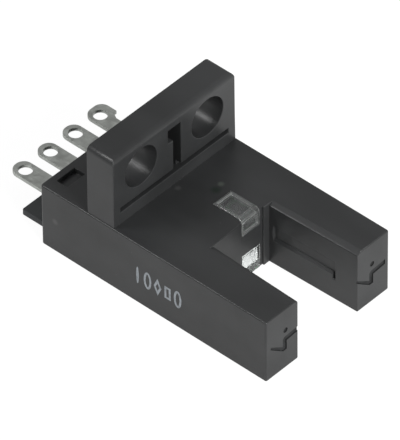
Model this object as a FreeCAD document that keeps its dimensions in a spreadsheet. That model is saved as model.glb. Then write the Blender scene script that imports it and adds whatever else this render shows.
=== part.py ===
import FreeCAD, Part

import math
import os
import re

import Sketcher

# Slotted optical switch: a black fork with an upright mounting flange, a clear light guide at the
# root of the slot and four flat terminals at the rear, with its circuit inside.
# Inside each sub-part Y is measured from the tips of the fork towards the terminals, and Z from the
# flat underside. The placements then put the origin under the middle of the whole switch.

# Driving dimensions in millimetres
SIZES = {
    # Fork and body
    "case_width": (12.55, "across both arms"),
    "case_length": (20.9, "from the tips to the rear wall"),
    "case_height": (5.45, "underside to the top of the arms"),
    "outer_wall": (0.8, "wall of the outer sides, tips and rear"),
    "slot_wall": (0.7, "wall beside the slot"),
    "roof_thickness": (0.9, "wall under the top face"),
    "rear_corner": (0.2, "radius of the upright rear corners"),
    "tip_corner": (0.15, "radius of the upright outer corners of the tips"),
    "soft_edge": (0.12, "radius of the long top edges"),
    # Sensing slot
    "mouth_width": (6.06, "slot width at the tips"),
    "root_width": (5.6, "slot width at its root"),
    "slot_depth": (7.9, "tips to the root of the slot"),
    "bevel_width": (0.2, "bevel of the slot edges, across"),
    "bevel_drop": (0.5, "bevel of the slot edges, down"),
    "recess_start": (2.0, "tips to the optical recess"),
    "recess_length": (5.5, "optical recess along the arm"),
    "recess_floor": (2.4, "underside to the optical recess"),
    "recess_height": (1.1, "height of the optical recess"),
    "recess_depth": (0.2, "depth of the optical recess"),
    "ledge_width": (0.19, "slope of the recess's lower ledge, across"),
    "ledge_drop": (0.17, "slope of the ledge, down"),
    "stop_width": (0.2, "upright stop mark below the end of the recess"),
    "stop_height": (0.55, "height of the stop mark"),
    # Light guide in the root of the slot
    "guide_offset": (1.1, "middle of the case to the middle of the light guide"),
    "guide_width": (1.8, "width of the light guide"),
    "guide_rise": (0.08, "light guide above the top face"),
    "guide_length": (2.65, "length of the light guide on top"),
    "guide_rim": (0.2, "rim round the dished faces of the light guide"),
    "guide_dish": (0.12, "depth of the dished faces"),
    "guide_edge": (0.07, "radius of the edges of the light guide"),
    "guide_leg": (0.4, "thickness of the leg behind the bar"),
    "guide_bevel": (0.3, "bevel between the top and the front of the light guide"),
    "frame_margin": (0.25, "light guide to the sides of the recess in the slot's root"),
    "frame_depth": (0.15, "depth of that recess"),
    "bar_thickness": (0.35, "bar of the case between the two windows"),
    "bar_floor": (2.1, "underside to the bar"),
    "bar_top": (4.0, "underside to the top of the bar"),
    "prism_length": (1.5, "foot of the light guide along the case"),
    "prism_gap": (0.05, "foot of the light guide to the cover"),
    # Mounting flange
    "flange_front": (14.08, "tips to the front face of the flange"),
    "flange_thickness": (2.47, "thickness of the flange"),
    "flange_width": (12.35, "width of the flange"),
    "flange_rise": (6.12, "flange above the top face"),
    "flange_corner": (0.45, "radius of the two top corners"),
    "flange_edge": (0.4, "radius of the front top edge"),
    "hole_pitch": (6.7, "between the two mounting holes"),
    "hole_diameter": (3.2, "clearance hole for a 3 mm screw"),
    "hole_rise": (3.85, "top face to the hole centres"),
    "groove_left": (0.1, "middle of the flange to the left side of the upright groove"),
    "groove_right": (0.65, "middle of the flange to its right side"),
    "groove_depth": (1.4, "depth of the upright groove"),
    "groove_top": (5.2, "top face to the upper end of the groove"),
    "groove_head_left": (0.6, "middle of the flange to the left side of the groove's head"),
    "groove_head_height": (1.15, "height of the head of the groove"),
    "foot_groove_rise": (1.0, "top face to the cross groove"),
    "foot_groove_height": (0.4, "height of the cross groove"),
    "foot_groove_length": (10.9, "length of the cross groove"),
    "foot_groove_depth": (0.5, "depth of the cross groove"),
    # Catch pockets behind the flange
    "catch_spacing": (8.65, "between the centres of the catch pockets"),
    "catch_width": (1.75, "catch pocket across the case"),
    "catch_length": (0.95, "catch pocket along the case"),
    "catch_margin": (0.6, "catch pocket to the rear face"),
    "catch_depth": (0.4, "depth of a catch pocket"),
    # Bottom cover
    "cover_thickness": (0.5, "thickness of the bottom cover"),
    "cover_rim": (0.4, "rim of the case round the bottom cover"),
    "cover_gap": (0.03, "clearance between cover and rim"),
    "tongue_width": (10.2, "width of the rear tongue"),
    "tongue_reach": (3.0, "tongue beyond the rear face"),
    "tongue_corner": (0.15, "radius of the tongue's corners"),
    "rail_height": (0.3, "rails that carry the circuit board"),
    "rail_width": (0.4, "width of a rail"),
    # Terminals and their holder
    "terminal_pitch": (2.54, "between neighbouring terminals"),
    "terminal_width": (1.55, "width of the strip"),
    "terminal_thickness": (0.3, "thickness of the strip"),
    "terminal_height": (2.72, "underside to the middle of the strip"),
    "terminal_reach": (4.7, "strip beyond the rear face"),
    "eye_diameter": (1.05, "hole in the strip"),
    "eye_margin": (0.93, "end of the strip to the hole centre"),
    "ear_reach": (0.3, "ear on the outer side of the last terminal"),
    "ear_length": (1.5, "ear along the terminal"),
    "ear_corner": (0.7, "radius of the ear's outer corner"),
    "neck_cut": (0.27, "neck behind the ear, in from the strip's side"),
    "neck_slope": (0.5, "slope between the ear and the neck"),
    "leg_width": (0.7, "width of the leg inside the case"),
    "shoulder_drop": (0.4, "strip to the shoulders of the leg"),
    "bend_radius": (0.2, "inside radius of the bend"),
    "holder_length": (1.9, "holder inside the rear wall"),
    "window_width": (9.8, "rear window of the case"),
    "window_top": (4.3, "underside to the top of the window"),
    "leg_gap": (0.25, "holder to the leg"),
    # Circuit board
    "board_thickness": (0.5, "thickness of the board"),
    "board_gap": (0.1, "board to the walls"),
    "board_fit": (0.05, "leg or lead to its hole in the board"),
    "tail_length": (0.2, "legs and leads below the board"),
    # Emitter and receiver
    "optic_position": (3.0, "tips to the optical axis"),
    "package_length": (2.4, "package along the arm"),
    "package_height": (2.2, "height of a package"),
    "package_standoff": (0.25, "board to a package"),
    "package_gap": (0.1, "package to the outer wall"),
    "lens_diameter": (1.3, "lens on a package"),
    "lens_height": (0.25, "lens above the package face"),
    "lead_thickness": (0.25, "square leads"),
    "lead_pitch": (0.75, "between the leads of a package"),
    "mask_thickness": (0.1, "sheet of the slit mask"),
    "mask_gap": (0.05, "mask to the lens and the package"),
    "mask_clearance": (0.1, "mask to the wall beside the slot"),
    "slit_width": (0.4, "slit along the arm"),
    "slit_height": (1.4, "height of the slit"),
    # Small parts on the board
    "chip_length": (1.6, "resistors, capacitor and indicator"),
    "chip_width": (0.8, "width of the same parts"),
    "resistor_height": (0.45, "height of a resistor"),
    "capacitor_height": (0.8, "height of the capacitor"),
    "cap_length": (0.3, "metal end of a small part"),
    "cap_proud": (0.03, "metal end above the body"),
    "signal_chip_size": (3.0, "square body of the signal chip"),
    "signal_chip_height": (1.1, "height of the signal chip"),
    "signal_chip_legs": (1.0, "between the legs of the signal chip"),
    "transistor_length": (2.9, "length of the output transistor"),
    "transistor_width": (1.3, "width of the output transistor"),
    "transistor_legs": (1.9, "between the two near legs of the transistor"),
    "diode_length": (1.8, "length of the protection diode"),
    "diode_width": (1.25, "width of the protection diode"),
    "small_height": (0.95, "height of transistor and diode"),
    "foot_length": (0.65, "leg beyond the body"),
    "foot_width": (0.4, "width of a leg"),
    "foot_thickness": (0.15, "thickness of a leg"),
}

# Points worked out from the driving dimensions, as formulas for the sketches
TIP_SHIFT = "-(case_length + terminal_reach) / 2"
ROOF = "(case_height - roof_thickness)"
ROOT_BACK = "(slot_depth + outer_wall)"
BOARD_LOW = "(cover_thickness + rail_height)"
BOARD_TOP = "(cover_thickness + rail_height + board_thickness)"
HOLDER_FRONT = "(case_length - outer_wall - holder_length)"
GUIDE_FRONT = "(slot_depth + frame_depth)"
GUIDE_BACK = "(slot_depth + frame_depth + guide_length)"
GUIDE_TOP = "(case_height + guide_rise)"
LEG_FRONT = "(slot_depth + frame_depth + bar_thickness)"
GUIDE_LEFT = "(guide_offset - guide_width / 2)"
GUIDE_RIGHT = "(guide_offset + guide_width / 2)"
PACKAGE_LOW = "(cover_thickness + rail_height + board_thickness + package_standoff)"
OPTIC_HEIGHT = "(recess_floor + recess_height / 2)"
ARM_ROOM = "(case_width / 2 - outer_wall - slot_wall - mouth_width / 2)"
LENS_ROOM = "(package_gap + lens_height + mask_gap + mask_thickness + mask_clearance)"
PACKAGE_THICKNESS = "(%s - %s)" % (ARM_ROOM, LENS_ROOM)
PACKAGE_OUTER = "(case_width / 2 - outer_wall - package_gap)"
PACKAGE_INNER = "(case_width / 2 - outer_wall - package_gap - %s)" % PACKAGE_THICKNESS
BOARD_EDGE = "(case_width / 2 - outer_wall - board_gap)"
BOARD_FRONT = "(slot_depth + frame_depth + prism_length + prism_gap + board_gap)"
LEG_BACK = "(case_length - outer_wall - holder_length - leg_gap)"

# Flat steps in the rounded front edge of the flange
EDGE_STEPS = 4

doc = FreeCAD.newDocument("slotted_optical_switch")


def fill_sheet():
    """Writes the driving dimensions into the sheet of the document."""
    sheet = doc.addObject("Spreadsheet::Sheet", "Sizes")
    for row, (alias, (value, note)) in enumerate(SIZES.items(), start=1):
        sheet.set("A%d" % row, alias)
        sheet.set("B%d" % row, str(value))
        sheet.set("C%d" % row, note)
        sheet.setAlias("B%d" % row, alias)
    doc.recompute()


def size(alias):
    """The value of one driving dimension."""
    return SIZES[alias][0]


def bind(formula):
    """Turns a formula in the names of the sizes into an expression on the sheet."""
    return re.sub(r"[a-z_]{2,}", lambda word: "Sizes." + word.group(0), formula)


def slot_half(place, extra="0"):
    """Half of the slot's width at a distance from the tips, plus a wall."""
    narrowing = "(mouth_width - root_width) / 2 * %s / slot_depth" % place
    return "(mouth_width / 2 - %s + %s)" % (narrowing, extra)


def mirrored(points):
    """An outline that is the same on both sides, from the points on its right side."""
    left = [("-" + across, along) for across, along in reversed(points)]
    return points + left


def rectangle(low_a, high_a, low_b, high_b):
    return [(low_a, low_b), (high_a, low_b), (high_a, high_b), (low_a, high_b)]


def centred(middle, width):
    """The two ends of a span about its middle."""
    return "(%s - (%s) / 2)" % (middle, width), "(%s + (%s) / 2)" % (middle, width)


def new_body(label):
    body = doc.addObject("PartDesign::Body", label)
    body.Label = label
    body.setExpression("Placement.Base.y", bind(TIP_SHIFT))
    return body


def origin_plane(body, role):
    for feature in body.Origin.OriginFeatures:
        if feature.Role == role:
            return feature
    raise ValueError("no plane " + role)


def fix_point(sketch, geometry, vertex, place):
    """Binds one point of a sketch to its two formulas."""
    for kind, formula in zip(("DistanceX", "DistanceY"), place):
        index = sketch.addConstraint(Sketcher.Constraint(kind, -1, 1, geometry, vertex, 1.0))
        sketch.setExpression("Constraints[%d]" % index, bind(formula))


def add_outline(sketch, points):
    """Draws a closed outline whose corners are bound to their formulas."""
    first = sketch.GeometryCount
    count = len(points)
    turn = 2 * math.pi / count
    corners = [FreeCAD.Vector(math.cos(turn * step), math.sin(turn * step), 0) for step in range(count)]
    for step in range(count):
        sketch.addGeometry(Part.LineSegment(corners[step], corners[(step + 1) % count]), False)
    for step in range(count):
        following = first + (step + 1) % count
        sketch.addConstraint(Sketcher.Constraint("Coincident", first + step, 2, following, 1))
    for step, place in enumerate(points):
        fix_point(sketch, first + step, 1, place)


def add_circle(sketch, place, diameter):
    """Draws a circle whose centre and diameter are bound to their formulas."""
    circle = Part.Circle(FreeCAD.Vector(0, 0, 0), FreeCAD.Vector(0, 0, 1), 1.0)
    index = sketch.addGeometry(circle, False)
    fix_point(sketch, index, 3, place)
    limit = sketch.addConstraint(Sketcher.Constraint("Diameter", index, 2.0))
    sketch.setExpression("Constraints[%d]" % limit, bind(diameter))


def extrude(body, kind, name, plane, low, high, outlines=(), circles=()):
    """Adds a Pad or cuts a Pocket between two heights along the axis that the plane faces.

    The plane XZ faces -Y, so its heights count the other way."""
    sketch = body.newObject("Sketcher::SketchObject", name + "_sketch")
    sketch.AttachmentSupport = [(origin_plane(body, plane + "_Plane"), "")]
    sketch.MapMode = "FlatFace"
    start = low if kind == "Pad" else high
    if plane == "XZ":
        start = "-(%s)" % (high if kind == "Pad" else low)
    sketch.setExpression("AttachmentOffset.Base.z", bind(start))
    for points in outlines:
        add_outline(sketch, points)
    for place, diameter in circles:
        add_circle(sketch, place, diameter)
    feature = body.newObject("PartDesign::" + kind, name)
    feature.Profile = sketch
    feature.setExpression("Length", bind("%s - (%s)" % (high, low)))
    doc.recompute()
    check_step(body, feature, kind)
    return feature


def check_step(body, feature, kind):
    """Stops when a step failed, or when a cut removed nothing or a pad added nothing."""
    if feature.Shape.isNull() or not feature.Shape.isValid():
        raise ValueError("%s in %s failed" % (feature.Name, body.Label))
    base = feature.BaseFeature
    if base is None:
        return
    grown = feature.Shape.Volume - base.Shape.Volume
    if (kind == "Pocket" and grown >= 0) or (kind == "Pad" and grown <= 0):
        raise ValueError("%s in %s changed nothing" % (feature.Name, body.Label))


def along(edge, axis):
    """True for a straight edge that runs along one axis."""
    if edge.Curve.TypeId != "Part::GeomLine":
        return False
    way = edge.tangentAt(edge.FirstParameter)
    return abs(abs((way.x, way.y, way.z)[axis]) - 1) < 1e-6


def dress(body, kind, name, formula, wanted, second=None):
    """Rounds or bevels the edges of the body that pass a test."""
    base = body.Tip
    numbered = enumerate(base.Shape.Edges, start=1)
    names = ["Edge%d" % number for number, edge in numbered if wanted(edge)]
    if not names:
        raise ValueError("no edge found for " + name)
    feature = body.newObject("PartDesign::" + kind, name)
    feature.Base = (base, names)
    if kind == "Fillet":
        feature.setExpression("Radius", bind(formula))
    else:
        feature.ChamferType = "Two distances"
        feature.setExpression("Size", bind(formula))
        feature.setExpression("Size2", bind(second))
    doc.recompute()
    if feature.Shape.isNull() or not feature.Shape.isValid():
        raise ValueError("%s in %s failed" % (name, body.Label))
    if feature.Shape.Volume == base.Shape.Volume:
        raise ValueError("%s in %s changed nothing" % (name, body.Label))
    return feature


def near(first, second, room=0.01):
    return abs(first - second) < room


def fork_outline(outer, tip, inner, rear, root):
    """Plan of a fork that is inset from the case by the given walls."""
    edge = "(case_width / 2 - %s)" % outer
    mouth = slot_half(tip, inner)
    bottom = "(root_width / 2 + %s)" % inner
    back = "(case_length - %s)" % rear
    return mirrored([(bottom, root), (mouth, tip), (edge, tip), (edge, back)])


def make_case():
    """The black moulding: fork, body and flange in one piece, open underneath for the circuit."""
    body = new_body("case")
    plan = mirrored([
        ("root_width / 2", "slot_depth"),
        ("mouth_width / 2", "0"),
        ("case_width / 2", "0"),
        ("case_width / 2", "case_length"),
    ])
    extrude(body, "Pad", "fork", "XY", "0", "case_height", [plan])
    rear = size("case_length")
    half = size("case_width") / 2
    top = size("case_height")
    inner = (size("mouth_width") + size("root_width")) / 4
    dress(body, "Chamfer", "slot_bevels", "bevel_width",
          lambda edge: near(edge.CenterOfMass.z, top) and near(abs(edge.CenterOfMass.x), inner),
          "bevel_drop")
    dress(body, "Fillet", "rear_corners", "rear_corner",
          lambda edge: along(edge, 2) and near(edge.CenterOfMass.y, rear))
    dress(body, "Fillet", "tip_corners", "tip_corner",
          lambda edge: along(edge, 2) and near(edge.CenterOfMass.y, 0)
          and near(abs(edge.CenterOfMass.x), half))
    dress(body, "Fillet", "soft_top_edges", "soft_edge",
          lambda edge: near(edge.CenterOfMass.z, top) and near(abs(edge.CenterOfMass.x), half))
    add_flange(body)
    cut_inside(body)
    cut_slot_details(body)
    return body


def add_flange(body):
    """The upright flange with its rounded outline, screw holes and grooves."""
    back = "(flange_front + flange_thickness)"
    top = "(case_height + flange_rise)"
    face = rectangle("-flange_width / 2", "flange_width / 2", ROOF, top)
    extrude(body, "Pad", "flange", "XZ", "flange_front", back, [face])
    side = size("flange_width") / 2
    peak = size("case_height") + size("flange_rise")
    dress(body, "Fillet", "flange_corners", "flange_corner",
          lambda edge: along(edge, 1) and near(edge.CenterOfMass.z, peak)
          and near(abs(edge.CenterOfMass.x), side))
    turns = [math.radians(step * 90 / EDGE_STEPS) for step in range(EDGE_STEPS + 1)]
    arc = [("(flange_front + flange_edge * %.6f)" % (1 - math.cos(turn)),
            "(%s - flange_edge * %.6f)" % (top, 1 - math.sin(turn))) for turn in turns]
    extrude(body, "Pocket", "front_edge", "YZ", "-flange_width / 2", "flange_width / 2",
            [arc + [("flange_front", top)]])
    height = "(case_height + hole_rise)"
    holes = [(("%shole_pitch / 2" % sign, height), "hole_diameter") for sign in ("", "-")]
    extrude(body, "Pocket", "screw_holes", "XZ", "flange_front", back, circles=holes)
    groove_low = "(case_height + foot_groove_rise)"
    groove_high = "(case_height + groove_top)"
    groove_back = "(flange_front + groove_depth)"
    upright = rectangle("-groove_left", "groove_right", groove_low, groove_high)
    extrude(body, "Pocket", "upright_groove", "XZ", "flange_front", groove_back, [upright])
    head_low = "(case_height + groove_top - groove_head_height)"
    head = rectangle("-groove_head_left", "groove_right", head_low, groove_high)
    extrude(body, "Pocket", "groove_head", "XZ", "flange_front", groove_back, [head])
    cross = rectangle("-foot_groove_length / 2", "foot_groove_length / 2",
                      groove_low, "(%s + foot_groove_height)" % groove_low)
    cross_back = "(flange_front + foot_groove_depth)"
    extrude(body, "Pocket", "cross_groove", "XZ", "flange_front", cross_back, [cross])


def cut_inside(body):
    """The hollow for the circuit, the seat of the bottom cover and the openings at the rear."""
    hollow = fork_outline("outer_wall", "outer_wall", "slot_wall", "outer_wall", ROOT_BACK)
    extrude(body, "Pocket", "hollow", "XY", "0", ROOF, [hollow])
    seat = fork_outline("cover_rim", "cover_rim", "cover_rim", "cover_rim", "(slot_depth + cover_rim)")
    extrude(body, "Pocket", "cover_seat", "XY", "0", "cover_thickness", [seat])
    exit_plan = rectangle("-tongue_width / 2", "tongue_width / 2",
                          "(case_length - outer_wall)", "case_length")
    extrude(body, "Pocket", "tongue_exit", "XY", "0", "cover_thickness", [exit_plan])
    window = rectangle("-window_width / 2", "window_width / 2", "cover_thickness", "window_top")
    extrude(body, "Pocket", "rear_window", "XZ", "(case_length - outer_wall)", "case_length", [window])


def cut_slot_details(body):
    """The windows for the light guide, the optical recesses and the catch pockets."""
    margins = ("(%s - frame_margin)" % GUIDE_LEFT, "(%s + frame_margin)" % GUIDE_RIGHT)
    frame = rectangle(*margins, "slot_depth", GUIDE_FRONT)
    extrude(body, "Pocket", "guide_recess", "XY", "0", "case_height", [frame])
    lower = rectangle(GUIDE_LEFT, GUIDE_RIGHT, GUIDE_FRONT, ROOT_BACK)
    extrude(body, "Pocket", "lower_window", "XY", "0", "bar_floor", [lower])
    channel = rectangle(GUIDE_LEFT, GUIDE_RIGHT, LEG_FRONT, ROOT_BACK)
    extrude(body, "Pocket", "leg_channel", "XY", "bar_floor", "bar_top", [channel])
    upper = rectangle(GUIDE_LEFT, GUIDE_RIGHT, GUIDE_FRONT, "(%s + guide_leg)" % LEG_FRONT)
    extrude(body, "Pocket", "upper_window", "XY", "bar_top", "case_height", [upper])
    plate = rectangle(GUIDE_LEFT, GUIDE_RIGHT, GUIDE_FRONT, GUIDE_BACK)
    extrude(body, "Pocket", "roof_window", "XY", ROOF, "case_height", [plate])
    near_end = "recess_start"
    far_end = "(recess_start + recess_length)"
    recess = mirrored([
        (slot_half(far_end, "recess_depth"), far_end),
        (slot_half(near_end, "recess_depth"), near_end),
    ])
    recess_top = "(recess_floor + recess_height)"
    extrude(body, "Pocket", "optical_recess", "XY", "recess_floor", recess_top, [recess])
    floor = size("recess_floor")
    middle = size("recess_start") + size("recess_length") / 2
    narrowing = (size("mouth_width") - size("root_width")) * middle / size("slot_depth")
    wall = (size("mouth_width") - narrowing) / 2
    dress(body, "Chamfer", "recess_ledges", "ledge_width",
          lambda edge: near(edge.CenterOfMass.z, floor) and near(edge.CenterOfMass.y, middle)
          and near(abs(edge.CenterOfMass.x), wall),
          "ledge_drop")
    stop_end = "(recess_start + stop_width)"
    stop = mirrored([
        (slot_half(stop_end, "recess_depth"), stop_end),
        (slot_half(near_end, "recess_depth"), near_end),
    ])
    extrude(body, "Pocket", "stop_marks", "XY", "(recess_floor - stop_height)", "recess_floor", [stop])
    pockets = []
    for sign in ("", "-"):
        low, high = centred("%scatch_spacing / 2" % sign, "catch_width")
        pockets.append(rectangle(low, high, "(case_length - catch_margin - catch_length)",
                                 "(case_length - catch_margin)"))
    catch_floor = "(case_height - catch_depth)"
    extrude(body, "Pocket", "catch_pockets", "XY", catch_floor, "case_height", pockets)


def make_bottom_cover():
    """The plate in the underside, with its rear tongue and the rails under the circuit board."""
    body = new_body("bottom_cover")
    inset = "(cover_rim + cover_gap)"
    plan = fork_outline(inset, inset, inset, inset, "(slot_depth + cover_rim + cover_gap)")
    extrude(body, "Pad", "plate", "XY", "0", "cover_thickness", [plan])
    tongue = rectangle("-(tongue_width / 2 - cover_gap)", "(tongue_width / 2 - cover_gap)",
                       ROOT_BACK, "(case_length + tongue_reach)")
    extrude(body, "Pad", "tongue", "XY", "0", "cover_thickness", [tongue])
    end = size("case_length") + size("tongue_reach")
    dress(body, "Fillet", "tongue_corners", "tongue_corner",
          lambda edge: along(edge, 2) and near(edge.CenterOfMass.y, end))
    foot = rectangle("(%s - prism_gap)" % GUIDE_LEFT, "(%s + prism_gap)" % GUIDE_RIGHT,
                     "slot_depth", "(%s + prism_length + prism_gap)" % GUIDE_FRONT)
    extrude(body, "Pocket", "foot_opening", "XY", "0", "cover_thickness", [foot])
    spans = [
        ("(outer_wall + rail_width)", "(optic_position - package_length / 2)"),
        ("(optic_position + package_length / 2 + package_gap)", HOLDER_FRONT),
    ]
    for side, sign in (("right", ""), ("left", "-")):
        low, high = centred("%s(%s - rail_width / 2)" % (sign, BOARD_EDGE), "rail_width")
        for number, (front, back) in enumerate(spans, start=1):
            rail = rectangle(low, high, front, back)
            label = "%s_rail_%d" % (side, number)
            extrude(body, "Pad", label, "XY", "cover_thickness", BOARD_LOW, [rail])
    return body


def make_light_guide():
    """The clear moulding that carries the indicator's light up over the case and down to the slot."""
    body = new_body("light_guide")
    leg_back = "(%s + guide_leg)" % LEG_FRONT
    profile = [
        (GUIDE_FRONT, "bar_top"),
        (GUIDE_FRONT, GUIDE_TOP),
        (GUIDE_BACK, GUIDE_TOP),
        (GUIDE_BACK, ROOF),
        (leg_back, ROOF),
        (leg_back, "bar_floor"),
        ("(%s + prism_length)" % GUIDE_FRONT, "0"),
        (GUIDE_FRONT, "0"),
        (GUIDE_FRONT, "bar_floor"),
        (LEG_FRONT, "bar_floor"),
        (LEG_FRONT, "bar_top"),
    ]
    extrude(body, "Pad", "profile", "YZ", GUIDE_LEFT, GUIDE_RIGHT, [profile])
    box = body.Tip.Shape.BoundBox
    dress(body, "Chamfer", "front_bevel", "guide_bevel",
          lambda edge: near(edge.CenterOfMass.z, box.ZMax) and near(edge.CenterOfMass.y, box.YMin),
          "guide_bevel")
    dress(body, "Fillet", "edges", "guide_edge",
          lambda edge: near(edge.CenterOfMass.z, box.ZMax) and edge.CenterOfMass.y < box.YMax)
    dish = rectangle("(%s + guide_rim)" % GUIDE_LEFT, "(%s - guide_rim)" % GUIDE_RIGHT,
                     "(%s + guide_bevel + guide_rim)" % GUIDE_FRONT, "(%s - guide_rim)" % GUIDE_BACK)
    extrude(body, "Pocket", "top_dish", "XY", "(%s - guide_dish)" % GUIDE_TOP, GUIDE_TOP, [dish])
    face = rectangle("(%s + guide_rim)" % GUIDE_LEFT, "(%s - guide_rim)" % GUIDE_RIGHT,
                     "(bar_top + guide_rim)", "(%s - guide_bevel - guide_rim)" % GUIDE_TOP)
    extrude(body, "Pocket", "front_dish", "XZ", GUIDE_FRONT, "(%s + guide_dish)" % GUIDE_FRONT, [face])
    return body


def terminal_places():
    """The middle of each terminal across the case, from left to right."""
    return ["(%s * terminal_pitch)" % step for step in ("-1.5", "-0.5", "0.5", "1.5")]


def make_terminal(number, middle):
    """A formed strip with a round eye outside and a leg down through the circuit board inside."""
    body = new_body("terminal_%d" % number)
    low = "(terminal_height - terminal_thickness / 2)"
    high = "(terminal_height + terminal_thickness / 2)"
    end = "(case_length + terminal_reach)"
    leg_front = "(%s - terminal_thickness)" % LEG_BACK
    leg_end = "(%s - tail_length)" % BOARD_LOW
    profile = [
        (end, low),
        (end, high),
        (leg_front, high),
        (leg_front, leg_end),
        (LEG_BACK, leg_end),
        (LEG_BACK, low),
    ]
    left, right = centred(middle, "terminal_width")
    extrude(body, "Pad", "strip", "YZ", left, right, [profile])
    tip = size("case_length") + size("terminal_reach")
    dress(body, "Fillet", "round_end", "terminal_width * 0.48",
          lambda edge: along(edge, 2) and near(edge.CenterOfMass.y, tip))
    bend = size("case_length") - size("outer_wall") - size("holder_length") - size("leg_gap")
    strip_low = size("terminal_height") - size("terminal_thickness") / 2
    dress(body, "Fillet", "inner_bend", "bend_radius",
          lambda edge: along(edge, 0) and near(edge.CenterOfMass.y, bend)
          and near(edge.CenterOfMass.z, strip_low))
    strip_high = strip_low + size("terminal_thickness")
    outer_bend = bend - size("terminal_thickness")
    dress(body, "Fillet", "outer_bend", "bend_radius + terminal_thickness",
          lambda edge: along(edge, 0) and near(edge.CenterOfMass.y, outer_bend)
          and near(edge.CenterOfMass.z, strip_high))
    if number == 4:
        add_ear(body, middle, low, high)
    eye = ((middle, "(case_length + terminal_reach - eye_margin)"), "eye_diameter")
    extrude(body, "Pocket", "eye", "XY", low, high, circles=[eye])
    leg_left, leg_right = centred(middle, "leg_width")
    shoulder = "(terminal_height - terminal_thickness / 2 - shoulder_drop)"
    sides = [
        rectangle(left, leg_left, leg_end, shoulder),
        rectangle(leg_right, right, leg_end, shoulder),
    ]
    extrude(body, "Pocket", "leg", "XZ", leg_front, LEG_BACK, sides)
    return body


def add_ear(body, middle, low, high):
    """The ear left by the carrier strip on the last terminal, and the neck behind it."""
    end = "(case_length + terminal_reach)"
    side = "(%s + terminal_width / 2)" % middle
    outer = "(%s + terminal_width / 2 + ear_reach)" % middle
    start = "(case_length + terminal_reach - ear_length)"
    extrude(body, "Pad", "ear", "XY", low, high, [rectangle(middle, outer, start, end)])
    tip = size("case_length") + size("terminal_reach")
    reach = size("terminal_pitch") * 1.5 + size("terminal_width") / 2 + size("ear_reach")
    dress(body, "Fillet", "ear_corner", "ear_corner",
          lambda edge: along(edge, 2) and near(edge.CenterOfMass.y, tip)
          and near(edge.CenterOfMass.x, reach))
    cut = "(%s + terminal_width / 2 - neck_cut)" % middle
    neck = [
        (cut, "case_length"),
        (side, "case_length"),
        (side, start),
        (cut, "(%s - neck_slope)" % start),
    ]
    extrude(body, "Pocket", "neck", "XY", low, high, [neck])


def make_terminal_holder():
    """The moulded block that fills the rear window and grips the four terminals."""
    body = new_body("terminal_holder")
    block = rectangle("-(case_width / 2 - outer_wall)", "(case_width / 2 - outer_wall)",
                      "cover_thickness", ROOF)
    wall = "(case_length - outer_wall)"
    extrude(body, "Pad", "block", "XZ", HOLDER_FRONT, wall, [block])
    plug = rectangle("-window_width / 2", "window_width / 2", "cover_thickness", "window_top")
    extrude(body, "Pad", "plug", "XZ", wall, "case_length", [plug])
    slots = []
    for middle in terminal_places():
        left, right = centred(middle, "terminal_width")
        low, high = centred("terminal_height", "terminal_thickness")
        slots.append(rectangle(left, right, low, high))
    extrude(body, "Pocket", "terminal_slots", "XZ", HOLDER_FRONT, "case_length", slots)
    return body


def lead_places(count):
    """The middle of each lead of a package along the arm."""
    shifts = [step - (count - 1) / 2 for step in range(count)]
    return ["(optic_position + (%s) * lead_pitch)" % shift for shift in shifts]


PACKAGE_MIDDLE = "((%s + %s) / 2)" % (PACKAGE_OUTER, PACKAGE_INNER)


def make_circuit_board():
    """The fork-shaped board, with holes for the legs of the terminals and the leads of the packages."""
    body = new_body("circuit_board")
    inner_front = slot_half("(outer_wall + board_gap)", "slot_wall + board_gap")
    inner_root = "(root_width / 2 + slot_wall + board_gap)"
    plan = mirrored([
        (inner_root, BOARD_FRONT),
        (inner_front, "(outer_wall + board_gap)"),
        (BOARD_EDGE, "(outer_wall + board_gap)"),
        (BOARD_EDGE, "(%s - board_gap)" % HOLDER_FRONT),
    ])
    extrude(body, "Pad", "plate", "XY", BOARD_LOW, BOARD_TOP, [plan])
    slots = []
    for middle in terminal_places():
        left, right = centred(middle, "leg_width + board_fit * 2")
        slots.append(rectangle(left, right, "(%s - terminal_thickness - board_fit)" % LEG_BACK,
                               "(%s + board_fit)" % LEG_BACK))
    extrude(body, "Pocket", "terminal_slots", "XY", BOARD_LOW, BOARD_TOP, slots)
    hole = "lead_thickness * 1.42 + board_fit"
    holes = [(("-" + PACKAGE_MIDDLE, place), hole) for place in lead_places(2)]
    holes += [((PACKAGE_MIDDLE, place), hole) for place in lead_places(3)]
    extrude(body, "Pocket", "lead_holes", "XY", BOARD_LOW, BOARD_TOP, circles=holes)
    return body


def make_package(label, sign):
    """A side-looking package with a domed lens that faces the slot, in the arm on one side."""
    body = new_body(label)
    ends = [sign + PACKAGE_INNER, sign + PACKAGE_OUTER]
    if sign:
        ends.reverse()
    high = "(%s + package_height)" % PACKAGE_LOW
    front, back = centred("optic_position", "package_length")
    block = rectangle(ends[0], ends[1], front, back)
    extrude(body, "Pad", "block", "XY", PACKAGE_LOW, high, [block])
    lens_end = "(%s - lens_height)" % PACKAGE_INNER
    lens = [sign + lens_end, sign + PACKAGE_INNER]
    if sign:
        lens.reverse()
    disc = (("optic_position", OPTIC_HEIGHT), "lens_diameter")
    extrude(body, "Pad", "lens", "YZ", lens[0], lens[1], circles=[disc])
    rim = min(abs(edge.CenterOfMass.x) for edge in body.Tip.Shape.Edges)
    dress(body, "Fillet", "dome", "lens_height * 0.9",
          lambda edge: edge.Curve.TypeId == "Part::GeomCircle" and near(abs(edge.CenterOfMass.x), rim))
    return body


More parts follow.
